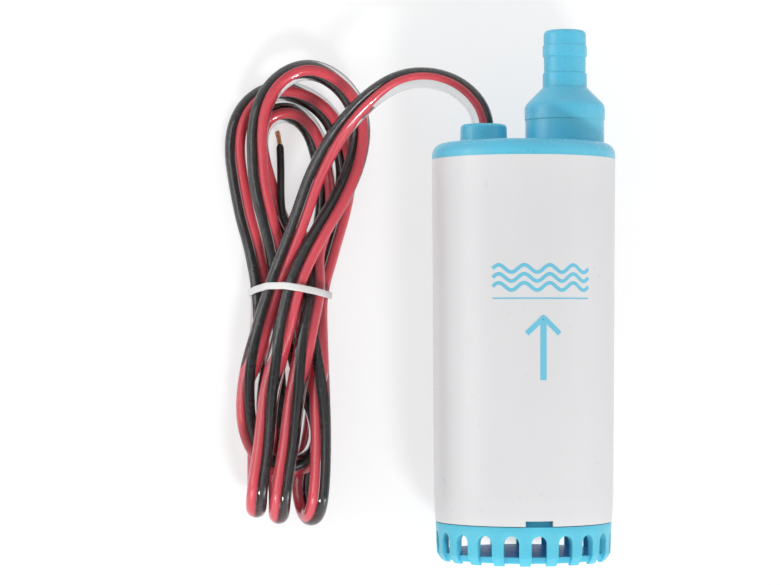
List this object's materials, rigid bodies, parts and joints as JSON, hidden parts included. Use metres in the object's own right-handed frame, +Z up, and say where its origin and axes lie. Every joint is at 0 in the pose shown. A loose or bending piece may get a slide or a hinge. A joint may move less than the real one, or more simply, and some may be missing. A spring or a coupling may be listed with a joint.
{
  "type": "submersible pump",
  "caption": "Slim submersible water pump with a slotted strainer, ringed hose outlet, non-return valve and a clear-jacketed cable folded into a tied hank.",
  "frame": {"origin": "middle of the pump's footprint on the surface that it lies on, without the cable hank", "axes": "+Y along the pump's axis towards the hose outlet, +Z up from the surface, +X to the right with the cable hank on the left"},
  "size_m": [0.1006, 0.1342, 0.0465],
  "materials": {
    "white_plastic": "smooth moulded, light sheen",
    "blue_plastic": "smooth moulded, light sheen",
    "clear_jacket": "clear, glossy",
    "red_core": "smooth",
    "black_core": "smooth",
    "copper": "bare copper",
    "white_tie": "natural nylon",
    "steel": "plain drawn",
    "bronze": "plain",
    "rubber": "matt moulded",
    "dark_plastic": "fine matt moulded",
    "ferrite": "sintered, matt",
    "carbon": "pressed carbon",
    "lamination": "stacked sheet"
  },
  "bodies": {
    "pump": {"housing": "white_plastic", "top_cap": "blue_plastic", "cap_seal": "rubber", "hose_nozzle": "blue_plastic", "nozzle_seal": "rubber", "valve_spring": "steel", "pump_casing": "dark_plastic", "diffuser": "dark_plastic", "motor_capsule": "dark_plastic", "shaft_seal": "rubber", "capsule_lid": "dark_plastic", "neck_seal": "rubber", "cable_seal": "rubber", "motor_can": "steel", "end_bell": "dark_plastic", "bush_front": "bronze", "bush_rear": "bronze", "magnet_upper": "ferrite", "magnet_lower": "ferrite", "brush_left": "carbon", "brush_right": "carbon", "brush_arm_left": "bronze", "brush_arm_right": "bronze", "cable_lead": "clear_jacket", "cable_hank": "clear_jacket", "cable_tie": "white_tie", "core_end_black": "black_core", "core_end_red": "red_core", "copper_end_black": "copper", "copper_end_red": "copper", "inner_core_black": "black_core", "inner_core_red": "red_core"},
    "rotor": {"shaft": "steel", "shaft_washers": "white_tie", "shaft_spacers": "white_tie", "armature_core": "lamination", "windings": "copper", "commutator_sleeve": "dark_plastic", "commutator": "copper", "impeller": "dark_plastic"},
    "valve": {"valve_poppet": "dark_plastic", "valve_washer": "rubber"},
    "strainer": {"strainer": "blue_plastic"}
  },
  "joints": [
    {"name": "rotor_spin", "type": "hinge", "parent": "pump", "child": "rotor", "pos_m": [0, 0, 0.02325], "axis": [0, 1, 0], "continuous": true},
    {"name": "valve_lift", "type": "slide", "parent": "pump", "child": "valve", "axis": [0, 1, 0], "range_m": [0, 0.0025], "stiffness_N_per_m": 100, "springref_m": -0.004, "deforming": ["valve_spring"]},
    {"name": "strainer_pull", "type": "slide", "parent": "pump", "child": "strainer", "axis": [0, -1, 0], "range_m": [0, 0.006]}
  ]
}
